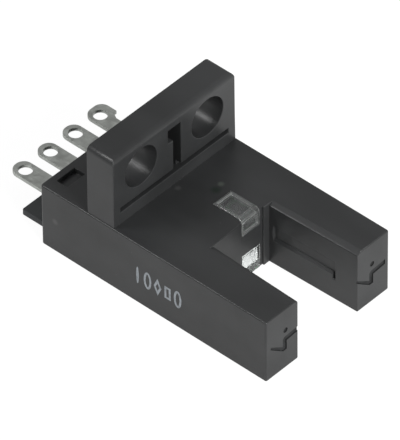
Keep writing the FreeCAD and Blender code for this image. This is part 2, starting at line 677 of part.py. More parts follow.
def make_leads(label, sign, count):
    """The square leads of a package, from its underside down through the circuit board."""
    leads = []
    low = "(%s - tail_length)" % BOARD_LOW
    for number, place in enumerate(lead_places(count), start=1):
        lead = doc.addObject("Part::Box", "%s_%d" % (label, number))
        lead.Label = lead.Name
        lead.setExpression("Length", bind("lead_thickness"))
        lead.setExpression("Width", bind("lead_thickness"))
        lead.setExpression("Height", bind("%s - %s" % (PACKAGE_LOW, low)))
        across = "%s%s - lead_thickness / 2" % (sign, PACKAGE_MIDDLE)
        lengthwise = "%s + %s - lead_thickness / 2" % (TIP_SHIFT, place)
        lead.setExpression("Placement.Base.x", bind(across))
        lead.setExpression("Placement.Base.y", bind(lengthwise))
        lead.setExpression("Placement.Base.z", bind(low))
        leads.append(lead)
    return leads


def make_slit_mask():
    """The folded metal mask that hugs the receiver and leaves it a narrow slit."""
    body = new_body("slit_mask")
    inside_front, inside_back = centred("optic_position", "package_length + mask_gap * 2")
    front, back = centred("optic_position", "package_length + mask_gap * 2 + mask_thickness * 2")
    inside = "(%s - lens_height - mask_gap)" % PACKAGE_INNER
    face = "(%s - lens_height - mask_gap - mask_thickness)" % PACKAGE_INNER
    sides = "(%s - %s / 3)" % (PACKAGE_OUTER, PACKAGE_THICKNESS)
    channel = [
        (face, front), (sides, front), (sides, inside_front), (inside, inside_front),
        (inside, inside_back), (sides, inside_back), (sides, back), (face, back),
    ]
    high = "(%s + package_height)" % PACKAGE_LOW
    extrude(body, "Pad", "channel", "XY", BOARD_TOP, high, [channel])
    slit_front, slit_back = centred("optic_position", "slit_width")
    slit_low, slit_high = centred(OPTIC_HEIGHT, "slit_height")
    slit = rectangle(slit_front, slit_back, slit_low, slit_high)
    extrude(body, "Pocket", "slit", "YZ", face, inside, [slit])
    return body


def make_chip(label, place, height, lengthwise):
    """A small two-ended part: a block with a metal cap at each end."""
    body = new_body(label)
    spans = [centred(place[0], "chip_width"), centred(place[1], "chip_width")]
    long_axis = 1 if lengthwise else 0
    spans[long_axis] = centred(place[long_axis], "chip_length")
    block = rectangle(*spans[0], *spans[1])
    body_top = "(%s + %s - cap_proud)" % (BOARD_TOP, height)
    extrude(body, "Pad", "block", "XY", "(%s + cap_proud)" % BOARD_TOP, body_top, [block])
    for number, end in enumerate(("-", ""), start=1):
        middle = "(%s %s (chip_length - cap_length) / 2)" % (place[long_axis], end or "+")
        cap_spans = list(spans)
        cap_spans[long_axis] = centred(middle, "cap_length")
        cap = rectangle(*cap_spans[0], *cap_spans[1])
        cap_top = "(%s + %s)" % (BOARD_TOP, height)
        extrude(body, "Pad", "cap_%d" % number, "XY", BOARD_TOP, cap_top, [cap])
    return body


def make_legged(label, place, length, width, height, legs):
    """A moulded package with flat legs: a block that stands clear of the board on bent legs."""
    body = new_body(label)
    block = rectangle(*centred(place[0], width), *centred(place[1], length))
    top = "(%s + %s)" % (BOARD_TOP, height)
    extrude(body, "Pad", "block", "XY", "(%s + foot_thickness)" % BOARD_TOP, top, [block])
    level = "(%s + %s / 2)" % (BOARD_TOP, height)
    for number, (side, shift) in enumerate(legs, start=1):
        edge = "(%s %s (%s) / 2)" % (place[0], side, width)
        knee = "(%s %s foot_length / 2)" % (edge, side)
        knee_in = "(%s %s (foot_length / 2 - foot_thickness))" % (edge, side)
        toe = "(%s %s foot_length)" % (edge, side)
        bend = [
            (edge, level),
            (knee, level),
            (knee, "(%s + foot_thickness)" % BOARD_TOP),
            (toe, "(%s + foot_thickness)" % BOARD_TOP),
            (toe, BOARD_TOP),
            (knee_in, BOARD_TOP),
            (knee_in, "(%s - foot_thickness)" % level),
            (edge, "(%s - foot_thickness)" % level),
        ]
        low, high = centred("(%s + %s)" % (place[1], shift), "foot_width")
        extrude(body, "Pad", "leg_%d" % number, "XZ", low, high, [bend])
    return body


def make_small_parts():
    """Everything that is soldered on the board behind the slot."""
    led_middle = "(%s + chip_width / 2)" % BOARD_FRONT
    side = "(%s - chip_length)" % BOARD_EDGE
    first_row = "(%s + chip_length)" % BOARD_FRONT
    second_row = "(%s + chip_length * 2.35)" % BOARD_FRONT
    third_row = "(%s + chip_length * 3.85)" % BOARD_FRONT
    steps = ("-1", "0", "1")
    chip_legs = [(way, "(%s) * signal_chip_legs" % step) for way in ("-", "+") for step in steps]
    transistor_legs = [("-", "(-transistor_legs / 2)"), ("-", "(transistor_legs / 2)"), ("+", "0")]
    return [
        make_chip("indicator_led", ("guide_offset", led_middle), "capacitor_height", False),
        make_chip("bypass_capacitor", ("-" + side, first_row), "capacitor_height", True),
        make_chip("indicator_resistor", (side, first_row), "resistor_height", True),
        make_chip("emitter_resistor", ("-" + side, second_row), "resistor_height", True),
        make_chip("pull_up_resistor", (side, second_row), "resistor_height", True),
        make_legged("signal_chip", ("0", second_row), "signal_chip_size", "signal_chip_size",
                    "signal_chip_height", chip_legs),
        make_legged("output_transistor", (side, third_row), "transistor_length",
                    "transistor_width", "small_height", transistor_legs),
        make_legged("protection_diode", ("-" + side, third_row), "diode_length",
                    "diode_width", "small_height", [("-", "0"), ("+", "0")]),
    ]


def check_document():
    """Stops when any object of the document failed."""
    for item in doc.Objects:
        if "Invalid" in item.State or "Error" in item.State:
            raise ValueError("%s is %s" % (item.Name, item.State))


def write_parts(parts):
    os.makedirs("parts", exist_ok=True)
    for part in parts:
        if part.Shape.isNull() or not part.Shape.isValid():
            raise ValueError(part.Label + " has no valid shape")
        part.Shape.exportStep("parts/%s.step" % part.Label)


fill_sheet()
sub_parts = [make_case(), make_bottom_cover(), make_light_guide(), make_terminal_holder()]
sub_parts.append(make_circuit_board())
for number, middle in enumerate(terminal_places(), start=1):
    sub_parts.append(make_terminal(number, middle))
sub_parts += [make_package("infrared_emitter", "-"), make_package("photo_receiver", "")]
sub_parts += make_leads("emitter_lead", "-", 2) + make_leads("receiver_lead", "", 3)
sub_parts.append(make_slit_mask())
sub_parts += make_small_parts()
doc.recompute()
check_document()
write_parts(sub_parts)
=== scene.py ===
import math

import bmesh
import bpy
from bpy.props import FloatProperty, FloatVectorProperty, PointerProperty
from mathutils import Matrix, Vector


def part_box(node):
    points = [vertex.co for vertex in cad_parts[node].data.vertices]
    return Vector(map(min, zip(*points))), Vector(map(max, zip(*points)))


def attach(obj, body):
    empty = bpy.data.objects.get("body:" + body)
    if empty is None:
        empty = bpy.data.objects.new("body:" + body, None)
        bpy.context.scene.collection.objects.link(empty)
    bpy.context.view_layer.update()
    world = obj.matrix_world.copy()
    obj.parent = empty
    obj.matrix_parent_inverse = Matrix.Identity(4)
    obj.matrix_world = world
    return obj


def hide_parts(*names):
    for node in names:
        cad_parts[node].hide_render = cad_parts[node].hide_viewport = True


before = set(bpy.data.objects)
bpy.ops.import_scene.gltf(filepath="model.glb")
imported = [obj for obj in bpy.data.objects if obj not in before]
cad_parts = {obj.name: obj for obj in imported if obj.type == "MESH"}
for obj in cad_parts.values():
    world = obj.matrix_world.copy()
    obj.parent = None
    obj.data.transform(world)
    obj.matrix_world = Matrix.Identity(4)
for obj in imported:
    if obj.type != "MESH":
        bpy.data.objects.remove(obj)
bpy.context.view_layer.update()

bl_info = {
    "name": "Slotted optical switch looks",
    "version": (1, 0, 0),
    "blender": (4, 5, 0),
    "location": "3D View > Sidebar > Optical switch",
    "description": "Dresses the CAD frame of a slotted optical switch and sets up its studio",
    "category": "Object",
}

MM = 0.001
WHITE = (1.0, 1.0, 1.0, 1.0)

# The camera that fits the photograph: bearing, height and roll in degrees, then millimetres
CAMERA_BEARING = -47.179
CAMERA_HEIGHT = 42.712
CAMERA_ROLL = -0.646
CAMERA_DISTANCE = 619.69
CAMERA_ASIDE = 8.7285
CAMERA_RAISED = -7.8567
CAMERA_PIXELS = 9067.8
CAMERA_RANGE = (0.01, 10.0)
PICTURE_HEIGHT = 440
SENSOR = 36.0
TIPS_Y = -12.8

# Corners closer than WELD are one, faces flatter than FLAT_ANGLE are one, edges steeper than
# SHARP_ANGLE stay sharp in the shading, and those steeper than ROUNDED_ANGLE are rounded
WELD = 1e-6
FLAT_ANGLE = math.radians(0.4)
SHARP_ANGLE = math.radians(32.0)
ROUNDED_ANGLE = math.radians(55.0)

# Outline of the engraved stroke on each tip, in millimetres across and up from its upper bend
BENT_STROKE = [
    (1.47, 0.32), (0.02, 0.24), (-0.16, 0.08), (-0.16, -0.60), (-1.38, 0.20),
    (-1.40, -0.03), (-0.12, -1.02), (0.24, -1.02), (0.24, -0.22), (1.47, -0.12),
]
# The dot above it, from the same bend in millimetres, and its steps in degrees
DOT_ACROSS, DOT_UP, DOT_RADIUS, DOT_STEP = 0.12, 0.80, 0.21, 20

# The printed marks from the rear to the tips: sides, turn in degrees, then the share of the
# width and of the line, where no line means a filled mark
PRINTED_ROW = [(16, 0.0, 0.34, 0.0), (24, 0.0, 1.0, 1.0), (4, 0.0, 1.0, 1.0), (4, 45.0, 1.15, 1.0),
               (24, 0.0, 1.0, 1.0)]
# Place of the first mark in millimetres: back from the tips, and up from the underside
FIRST_MARK_BACK, FIRST_MARK_UP = 11.85, 2.6

# Small scuff marks on the case, with a painted light spot and a painted shadow on the top behind
# the light guide's window: middle and radius in millimetres, then colour
SCUFFS_AND_PAINTED_LIGHT = [
    ((-0.22, 0.80, 5.45), 0.30, (0.052, 0.052, 0.052, 1.0)),
    ((0.82, 1.47, 5.45), 0.26, (0.042, 0.042, 0.042, 1.0)),
    # Painted light spot, then painted shadow, on the top behind the light guide's window
    ((2.06, -1.12, 5.45), 0.30, (0.070, 0.080, 0.070, 1.0)),
    ((1.37, -1.28, 5.45), 0.50, (0.010, 0.017, 0.012, 1.0)),
    ((-6.28, 6.77, 2.76), 0.32, (0.075, 0.075, 0.075, 1.0)),
]

# Finishes of the pieces inside the case: nodes, colour, size of the speckle and lowest roughness
CIRCUIT_FINISHES = {
    "Infrared emitter resin": (("infrared_emitter",), (0.30, 0.33, 0.40), 0.00020, 0.12),
    "Dark receiver resin": (("photo_receiver",), (0.030, 0.018, 0.022), 0.00020, 0.12),
    "Red indicator resin": (("indicator_led",), (0.52, 0.09, 0.06), 0.00010, 0.25),
    "Black chip moulding": (("signal_chip", "output_transistor", "protection_diode"),
                            (0.028, 0.028, 0.030), 0.00008, 0.45),
    "Black resistor glaze": (("emitter_resistor", "indicator_resistor", "pull_up_resistor"),
                             (0.035, 0.036, 0.042), 0.00007, 0.30),
    "Tan capacitor ceramic": (("bypass_capacitor",), (0.36, 0.24, 0.14), 0.00006, 0.40),
}
CIRCUIT_METAL = ("emitter_lead_1", "emitter_lead_2", "receiver_lead_1", "receiver_lead_2",
                 "receiver_lead_3", "slit_mask")

LEAD_TONE, LEAD_ROUGHNESS = (0.52, 0.52, 0.50), 0.30

# How pale the rubbed edges of the lower pieces are, and how much rougher the holder is
COVER_WEAR, HOLDER_WEAR, HOLDER_ROUGHER = 0.08, 0.05, 0.08
PLASTIC_IOR = 1.49

# The square lamps: setting with the power, place, target, side and colour
LAMPS = [
    ("front_lamp", (-0.05, -0.30, 0.15), (0.0, -0.01, 0.003), 0.16, (1.0, 1.0, 0.99)),
    ("card_lamp", (0.045, 0.014, 0.058), (0.0, -0.012, 0.0), 0.03, (1.0, 1.0, 1.0)),
    ("top_lamp", (-0.10, 0.02, 0.45), (0.0, 0.0, 0.0), 0.40, (0.98, 0.99, 1.0)),
    ("rear_lamp", (-0.212, 0.230, 0.334), (0.0, 0.002, 0.009), 0.13, (1.0, 1.0, 1.0)),
]

# The paper floor: how far it lies below the switch, its own light, and the share of that light
# that it shows to the camera and in reflections
FLOOR_DROP = 0.00001
PAPER_GLOW = 1.24
PAPER_SEEN = 0.72
PAPER_REFLECTED = 0.25


def length(name, description, default):
    """A length property, in metres."""
    return FloatProperty(name=name, description=description, default=default, min=0.0,
                         precision=6, subtype="DISTANCE", unit="LENGTH")


def colour(name, description, default):
    """A colour property."""
    return FloatVectorProperty(name=name, description=description, default=default, size=3,
                               min=0.0, max=1.0, subtype="COLOR")


def share(name, description, default):
    """A property between 0 and 1."""
    return FloatProperty(name=name, description=description, default=default, min=0.0, max=1.0,
                         subtype="FACTOR")


def power(name, description, default):
    """A lamp's power property, in watts."""
    return FloatProperty(name=name, description=description, default=default, min=0.0,
                         unit="POWER")


class CaseSettings(bpy.types.PropertyGroup):
    """The black moulded case."""
    tone: colour("Tone", "Colour of the black plastic", (0.0265, 0.0274, 0.0282))
    roughness: share("Roughness", "Roughness of the moulded skin", 0.325)
    edge: length("Edge radius", "Rounding of the moulded edges", 0.00008)
    wear: share("Wear", "How pale the rubbed edges are", 0.015)
    mark_aside: length("Mark aside", "Middle of the case to the bend of a tip mark", 0.00442)
    mark_height: length("Mark height", "Underside to the bend of a tip mark", 0.00269)
    mark_depth: length("Mark depth", "Depth of the tip marks", 0.00012)


class CoverSettings(bpy.types.PropertyGroup):
    """The bottom cover and the terminal holder."""
    tone: colour("Tone", "Colour of the cover", (0.038, 0.041, 0.043))
    roughness: share("Roughness", "Roughness of the cover", 0.45)
    edge: length("Edge radius", "Rounding of its edges", 0.00006)


class GuideSettings(bpy.types.PropertyGroup):
    """The clear light guide."""
    tone: colour("Tone", "Tint of the clear plastic", (0.80, 0.83, 0.82))
    roughness: share("Roughness", "Roughness of its faces", 0.12)
    milkiness: share("Milkiness", "Share of the light that the plastic scatters", 0.06)
    edge: length("Edge radius", "Rounding of its edges", 0.00002)


class TerminalSettings(bpy.types.PropertyGroup):
    """The four tinned terminals."""
    tone: colour("Tone", "Colour of the tin", (0.58, 0.60, 0.57))
    roughness: share("Roughness", "Roughness of the tin", 0.42)
    edge: length("Edge radius", "Rounding of the stamped edges", 0.00004)


class PrintSettings(bpy.types.PropertyGroup):
    """The row of plain printed marks on the side of the case."""
    tone: colour("Tone", "Colour of the ink", (0.36, 0.39, 0.42))
    height: length("Height", "Height of a mark", 0.00155)
    width: length("Width", "Width of a mark", 0.00070)
    pitch: length("Pitch", "Distance between two marks", 0.00093)
    line: length("Line", "Width of a printed line", 0.00017)
    thickness: length("Thickness", "Thickness of the ink", 0.000012)


class StageSettings(bpy.types.PropertyGroup):
    """Floor, lamps and room."""
    floor: length("Floor", "Length of the floor's side", 1.2)
    floor_tone: colour("Floor tone", "Colour of the floor", (0.64, 0.64, 0.64))
    front_lamp: power("Front lamp", "Power of the low lamp in front of the tips", 1.25)
    card_lamp: power("Card lamp", "Power of the small near card on the right", 0.00035)
    top_lamp: power("Top lamp", "Power of the wide lamp above", 0.22)
    rear_lamp: power("Rear lamp", "Power of the small lamp behind on the left", 0.50)
    room: FloatProperty(name="Room light", description="Brightness of the room round the stage",
                        default=0.34, min=0.0)


# Materials


def feed(tree, socket, value):
    """Links a value to a socket, or sets it there if it is a plain one."""
    if isinstance(value, bpy.types.NodeSocket):
        tree.links.new(value, socket)
    else:
        socket.default_value = value


def connect(tree, node, inputs):
    """Sets or links the named inputs of a node."""
    for name, value in inputs.items():
        feed(tree, node.inputs[name], value)


def add(tree, kind, inputs, **settings):
    """Adds a shader node with its settings and inputs."""
    node = tree.nodes.new("ShaderNode" + kind)
    for name, value in settings.items():
        setattr(node, name, value)
    connect(tree, node, inputs)
    return node


def place_of(tree, scale=(1.0, 1.0, 1.0), turn=(0.0, 0.0, 0.0)):
    """Object coordinates, stretched or turned."""
    coords = add(tree, "TexCoord", {})
    mapped = add(tree, "Mapping", {
        "Vector": coords.outputs["Object"], "Scale": scale, "Rotation": turn,
    })
    return mapped.outputs["Vector"]


def grain(tree, size, detail=3.0, place=None, distortion=0.0):
    """Noise whose features have about the given size in metres."""
    node = add(tree, "TexNoise", {
        "Vector": place or place_of(tree), "Scale": 1.0 / size, "Detail": detail,
        "Distortion": distortion,
    })
    return node.outputs["Fac"]


def fit(tree, value, low, high, bottom, top):
    """Carries a value from one range to another and stops at its ends."""
    node = add(tree, "MapRange", {
        "Value": value, "From Min": low, "From Max": high, "To Min": bottom, "To Max": top,
    })
    return node.outputs["Result"]


def spread(tree, noise, bottom, top):
    """Carries noise, which mostly lies between 0.3 and 0.7, to a range."""
    return fit(tree, noise, 0.3, 0.7, bottom, top)


def combine(tree, kind, first, second):
    """Joins two numbers."""
    node = add(tree, "Math", {}, operation=kind)
    for socket, value in zip(node.inputs, (first, second)):
        feed(tree, socket, value)
    return node.outputs["Value"]


def measure(tree, kind, first, second):
    """Measures two vectors against each other."""
    node = add(tree, "VectorMath", {}, operation=kind)
    for socket, value in zip(node.inputs, (first, second)):
        feed(tree, socket, value)
    return node.outputs["Value"]


def blend(tree, factor, first, second):
    """Mixes two colours."""
    node = add(tree, "Mix", {}, data_type="RGBA")
    # The Mix node repeats its socket names, so those of the colours go by number
    for number, value in ((0, factor), (6, first), (7, second)):
        feed(tree, node.inputs[number], value)
    return node.outputs[2]


def bumped(tree, height, depth, strength, under=None):
    """A bump of the given depth in metres."""
    inputs = {"Height": height, "Distance": depth, "Strength": strength}
    if under is not None:
        inputs["Normal"] = under
    return add(tree, "Bump", inputs).outputs["Normal"]


def edge_mask(tree, radius):
    """1 along the outer edges of a piece and 0 on its faces."""
    soft = add(tree, "Bevel", {"Radius": radius}, samples=4)
    face = add(tree, "NewGeometry", {})
    likeness = measure(tree, "DOT_PRODUCT", soft.outputs["Normal"], face.outputs["Normal"])
    return fit(tree, likeness, 0.99, 0.86, 0.0, 1.0)


def new_look(name):
    """A material with its node tree and shader."""
    material = bpy.data.materials.new(name)
    material.use_nodes = True
    return material, material.node_tree, material.node_tree.nodes["Principled BSDF"]


def lighter(tone, factor):
    """A colour made lighter or darker, ready for a shader."""
    return tuple(min(1.0, part * factor) for part in tone) + (1.0,)


def scuffed_and_painted(tree, paint, scuffs_and_painted_spots):
    """Lays small soft scuff marks, and painted spots of light and shade, over a colour."""
    coords = add(tree, "TexCoord", {})
    for middle, radius, tone in scuffs_and_painted_spots:
        away = measure(tree, "DISTANCE", coords.outputs["Object"], Vector(middle) * MM)
        cover = fit(tree, away, radius * 0.3 * MM, radius * MM, 0.8, 0.0)
        paint = blend(tree, cover, paint, tone)
    return paint


def moulded_plastic(name, tone, roughness, wear, scuffs_and_painted_spots=()):
    """Satin black plastic: eroded skin, flow marks, smudges, rubbed edges and a little dust."""
    material, tree, shader = new_look(name)
    skin = grain(tree, 0.00012, 2.0)
    flow = grain(tree, 0.0045, 2.0, place_of(tree, (1.0, 0.35, 1.0)))
    smudge = grain(tree, 0.0016, 3.0)
    scuff = grain(tree, 0.0004, 2.0, place_of(tree, (1.0, 0.05, 1.0), (0.0, 0.0, 0.5)))
    speck = grain(tree, 0.00016, 1.0)
    shaded = blend(tree, fit(tree, flow, 0.35, 0.65, 0.0, 1.0),
                   lighter(tone, 0.82), lighter(tone, 1.22))
    rubbed = combine(tree, "MULTIPLY", edge_mask(tree, 0.00010),
                     fit(tree, smudge, 0.35, 0.60, 0.2, 1.0))
    edged = blend(tree, combine(tree, "MULTIPLY", rubbed, wear), shaded, (0.32, 0.33, 0.33, 1.0))
    dusty = blend(tree, fit(tree, speck, 0.80, 0.84, 0.0, 0.22), edged, (0.40, 0.40, 0.38, 1.0))
    rough = combine(tree, "ADD", spread(tree, smudge, roughness - 0.04, roughness + 0.06),
                    fit(tree, scuff, 0.30, 0.90, 0.0, 0.05))
    fine = bumped(tree, skin, 0.000002, 0.6)
    connect(tree, shader, {
        "Base Color": scuffed_and_painted(tree, dusty, scuffs_and_painted_spots),
        "Roughness": rough,
        "Normal": bumped(tree, flow, 0.00003, 0.5, fine),
        "IOR": PLASTIC_IOR,
    })
    return material


def etched_plastic(name, tone):
    """The dull, coarsely etched floor of the tip marks."""
    material, tree, shader = new_look(name)
    pits = grain(tree, 0.00009, 4.0)
    patch = grain(tree, 0.0005, 2.0)
    connect(tree, shader, {
        "Base Color": blend(tree, fit(tree, patch, 0.35, 0.65, 0.0, 1.0),
                            lighter(tone, 0.80), lighter(tone, 1.15)),
        "Roughness": spread(tree, pits, 0.70, 0.90),
        "Normal": bumped(tree, pits, 0.000020, 0.9),
        "Specular IOR Level": 0.25,
    })
    return material


def clear_plastic(name, tone, roughness, milkiness):
    """Slightly milky clear plastic with faint flow lines, less clear and so paler along its edges
    as a painted highlight of its bright rims.
    """
    material, tree, shader = new_look(name)
    flow = grain(tree, 0.0012, 1.0, place_of(tree, (1.0, 1.0, 0.4)), 0.5)
    connect(tree, shader, {
        "Base Color": blend(tree, spread(tree, flow, 0.0, 1.0),
                            lighter(tone, 0.94), lighter(tone, 1.0)),
        "Roughness": spread(tree, flow, roughness * 0.85, roughness * 1.25),
        "Normal": bumped(tree, flow, 0.00002, 0.3),
        "IOR": PLASTIC_IOR,
        # Less clear along the edges, so the pale tint shows there: a painted highlight of the
        # bright rims
        "Transmission Weight": fit(tree, edge_mask(tree, 0.00012), 0.0, 1.0,
                                   1.0 - milkiness, 0.60),
    })
    return material


def tinned_metal(name, tone, roughness):
    """Dull tin plate: drawn lines along the strip, cloudy oxide, and edges darkened by painted
    shade with a little oxide.
    """
    material, tree, shader = new_look(name)
    drawn = grain(tree, 0.00006, 3.0, place_of(tree, (1.0, 0.04, 1.0)))
    cloud = grain(tree, 0.0007, 5.0, None, 0.7)
    pit = grain(tree, 0.00012, 2.0)
    clouded = blend(tree, fit(tree, cloud, 0.32, 0.68, 0.0, 1.0),
                    lighter(tone, 0.80), lighter(tone, 1.22))
    lined = blend(tree, spread(tree, drawn, 0.0, 0.5), clouded, lighter(tone, 0.72))
    # Darker along the edges: painted shade of the rounded edges, with a little oxide
    edged = blend(tree, combine(tree, "MULTIPLY", edge_mask(tree, 0.00006), 0.5),
                  lined, lighter(tone, 0.55))
    rough = combine(tree, "ADD", spread(tree, cloud, roughness - 0.08, roughness + 0.12),
                    fit(tree, pit, 0.55, 0.75, 0.0, 0.15))
    pitted = bumped(tree, pit, 0.000005, 0.6)
    connect(tree, shader, {
        "Base Color": edged,
        "Roughness": rough,
        "Normal": bumped(tree, drawn, 0.000004, 0.7, pitted),
        "Metallic": 1.0,
    })
    return material


def printed_ink(name, tone):
    """Pale pad-printed ink, thin and a little rubbed."""
    material, tree, shader = new_look(name)
    film = grain(tree, 0.00022, 4.0)
    fine = grain(tree, 0.00005, 2.0)
    connect(tree, shader, {
        "Base Color": blend(tree, fit(tree, film, 0.40, 0.66, 0.0, 0.55),
                            lighter(tone, 1.0), lighter(tone, 0.42)),
        "Roughness": spread(tree, film, 0.50, 0.72),
        "Normal": bumped(tree, fine, 0.000003, 0.7),
    })
    return material


def fired_body(name, tone, size, gloss):
    """Moulded or fired bodies of the small parts: speckled, with a softly uneven skin."""
    material, tree, shader = new_look(name)
    speckle = grain(tree, size, 4.0)
    patch = grain(tree, size * 9.0, 2.0)
    shaded = blend(tree, fit(tree, speckle, 0.35, 0.65, 0.0, 1.0),
                   lighter(tone, 0.75), lighter(tone, 1.25))
    connect(tree, shader, {
        "Base Color": blend(tree, fit(tree, patch, 0.40, 0.60, 0.0, 0.35),
                            shaded, lighter(tone, 0.6)),
        "Roughness": spread(tree, speckle, gloss, gloss + 0.2),
        "Normal": bumped(tree, speckle, size * 0.06, 0.8),
    })
    return material


def lacquered_board(name):
    """Green solder lacquer over glass weave, with paler copper tracks under it."""
    material, tree, shader = new_look(name)
    place = place_of(tree)
    weave = add(tree, "TexWave", {
        "Vector": place, "Scale": 900.0, "Distortion": 0.4, "Detail": 1.0,
    }).outputs["Fac"]
    tracks = add(tree, "TexBrick", {
        "Vector": place, "Scale": 420.0, "Mortar Size": 0.035, "Brick Width": 1.1,
        "Row Height": 0.42,
    }, offset=0.37).outputs["Fac"]
    lacquer = blend(tree, weave, (0.010, 0.075, 0.028, 1.0), (0.014, 0.092, 0.034, 1.0))
    dust = grain(tree, 0.0009, 4.0)
    woven = bumped(tree, weave, 0.00001, 0.4)
    connect(tree, shader, {
        "Base Color": blend(tree, tracks, (0.035, 0.165, 0.060, 1.0), lacquer),
        "Roughness": spread(tree, dust, 0.22, 0.42),
        "Normal": bumped(tree, tracks, 0.00003, 0.5, woven),
    })
    return material


# Pieces


def settle(piece, slot, *nodes):
    """Makes a finished piece ride on the switch and stand for CAD nodes; the slot is not used."""
    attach(piece, "root")
    if nodes:
        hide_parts(*nodes)


def new_piece(name, shape, *materials):
    """Turns a bmesh into an object at the origin."""
    mesh = bpy.data.meshes.new(name)
    shape.to_mesh(mesh)
    shape.free()
    for material in materials:
        mesh.materials.append(material)
    piece = bpy.data.objects.new(name, mesh)
    bpy.context.scene.collection.objects.link(piece)
    return piece


def carved(shape, cutter, materials):
    """The shape less its cutter, both bmeshes. The cut faces take the second material."""
    for number, body in enumerate((shape, cutter)):
        for face in body.faces:
            face.material_index = number
    whole = new_piece("uncut", shape, *materials)
    tool = new_piece("cutter", cutter, *materials)
    cut = whole.modifiers.new("Cut", "BOOLEAN")
    cut.operation = "DIFFERENCE"
    cut.solver = "EXACT"
    cut.object = tool
    result = bmesh.new()
    result.from_object(whole, bpy.context.evaluated_depsgraph_get())
    for piece in (whole, tool):
        mesh = piece.data
        bpy.data.objects.remove(piece)
        bpy.data.meshes.remove(mesh)
    return result


def rounded_copy(node, name, radius, slot, materials, cutter=None):
    """A copy of a CAD node that stands for it, welded and softly rounded along its edges."""
    shape = bmesh.new()
    shape.from_mesh(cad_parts[node].data)
    bmesh.ops.remove_doubles(shape, verts=shape.verts, dist=WELD)
    bmesh.ops.dissolve_limit(shape, angle_limit=FLAT_ANGLE, verts=shape.verts, edges=shape.edges,
                             use_dissolve_boundaries=False)
    rounded = [edge for edge in shape.edges
               if edge.is_manifold and edge.is_convex and edge.calc_face_angle() > ROUNDED_ANGLE]
    bmesh.ops.bevel(shape, geom=rounded, offset=radius, offset_type="OFFSET", segments=2,
                    profile=0.5, affect="EDGES", clamp_overlap=False, material=-1,
                    loop_slide=False)
    if cutter is not None:
        shape = carved(shape, cutter, materials)
    for face in shape.faces:
        face.smooth = True
    for edge in shape.edges:
        if edge.is_manifold and edge.calc_face_angle() > SHARP_ANGLE:
            edge.smooth = False
    piece = new_piece(name, shape, *materials)
    weigh = piece.modifiers.new("Even shading", "WEIGHTED_NORMAL")
    weigh.keep_sharp = True
    settle(piece, slot, node)


def dress_node(node, material):
    """Gives a CAD node that stays shown its material."""
    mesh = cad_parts[node].data
    mesh.materials.clear()
    mesh.materials.append(material)


def add_prism(shape, points, place, depth):
    """Adds an upright outline in millimetres that goes back from the tips by a depth."""
    front = [shape.verts.new((place.x + across * MM, TIPS_Y * MM - depth, place.z + up * MM))
             for across, up in points]
    face = shape.faces.new(front)
    made = bmesh.ops.extrude_face_region(shape, geom=[face])
    back = [part for part in made["geom"] if isinstance(part, bmesh.types.BMVert)]
    bmesh.ops.translate(shape, vec=(0.0, depth * 2, 0.0), verts=back)


def tip_marks(settings):
    """The bent stroke and the dot in the tip of each arm, as one cutter."""
    turns = [math.radians(turn) for turn in range(0, 360, DOT_STEP)]
    dot = [(DOT_ACROSS + DOT_RADIUS * math.cos(turn), DOT_UP + DOT_RADIUS * math.sin(turn))
           for turn in turns]
    shape = bmesh.new()
    for side in (-1, 1):
        place = Vector((side * settings.mark_aside, 0.0, settings.mark_height))
        for points in (BENT_STROKE, dot):
            add_prism(shape, points, place, settings.mark_depth)
    bmesh.ops.recalc_face_normals(shape, faces=shape.faces)
    return shape


def add_mark(shape, centre, width, height, sides, turn, line):
    """Adds one printed mark on the plane of the side wall: an outline, or filled without a line."""
    where = Matrix.Translation(centre) @ Matrix.Rotation(math.radians(-90.0), 4, "Y")
    squash = Matrix.Diagonal((height, width, 1.0, 1.0))
    spin = Matrix.Rotation(math.radians(turn), 4, "Z")
    made = bmesh.ops.create_circle(shape, cap_ends=True, radius=0.5, segments=sides,
                                   matrix=where @ squash @ spin)
    face = made["verts"][0].link_faces[0]
    if line:
        bmesh.ops.inset_region(shape, faces=[face], thickness=line, use_even_offset=True,
                               use_boundary=True)
        bmesh.ops.delete(shape, geom=[face], context="FACES")


def printed_marks(settings, material):
    """Five plain printed shapes in a row on the near side wall."""
    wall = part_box("case")[0].x - settings.thickness * 0.5
    first_y = (TIPS_Y + FIRST_MARK_BACK) * MM
    shape = bmesh.new()
    for step, (sides, turn, widen, outlined) in enumerate(PRINTED_ROW):
        centre = Vector((wall, first_y - step * settings.pitch, FIRST_MARK_UP * MM))
        add_mark(shape, centre, settings.width * widen, settings.height, sides, turn,
                 settings.line * outlined)
    bmesh.ops.solidify(shape, geom=shape.faces[:], thickness=settings.thickness)
    bmesh.ops.recalc_face_normals(shape, faces=shape.faces)
    settle(new_piece("printed_marks", shape, material), "black_case")


class OPTICAL_OT_case(bpy.types.Operator):
    """Builds the black case from its CAD node"""
    bl_idname = "optical_switch.case"
    bl_label = "Case"

    def execute(self, context):
        settings = context.scene.optical_case
        look = moulded_plastic("Black satin plastic", settings.tone, settings.roughness,
                               settings.wear, SCUFFS_AND_PAINTED_LIGHT)
        etched = etched_plastic("Etched black plastic", settings.tone)
        rounded_copy("case", "case_moulding", settings.edge, "black_case", (look, etched),
                     tip_marks(settings))
        return {"FINISHED"}


class OPTICAL_OT_cover(bpy.types.Operator):
    """Builds the bottom cover and the terminal holder"""
    bl_idname = "optical_switch.cover"
    bl_label = "Cover and holder"

    def execute(self, context):
        settings = context.scene.optical_cover
        look = moulded_plastic("Black cover plastic", settings.tone, settings.roughness,
                               COVER_WEAR)
        rounded_copy("bottom_cover", "cover_moulding", settings.edge, "black_cover", (look,))
        plug = moulded_plastic("Black holder plastic", settings.tone,
                               settings.roughness + HOLDER_ROUGHER, HOLDER_WEAR)
        rounded_copy("terminal_holder", "holder_moulding", settings.edge, "black_holder", (plug,))
        return {"FINISHED"}


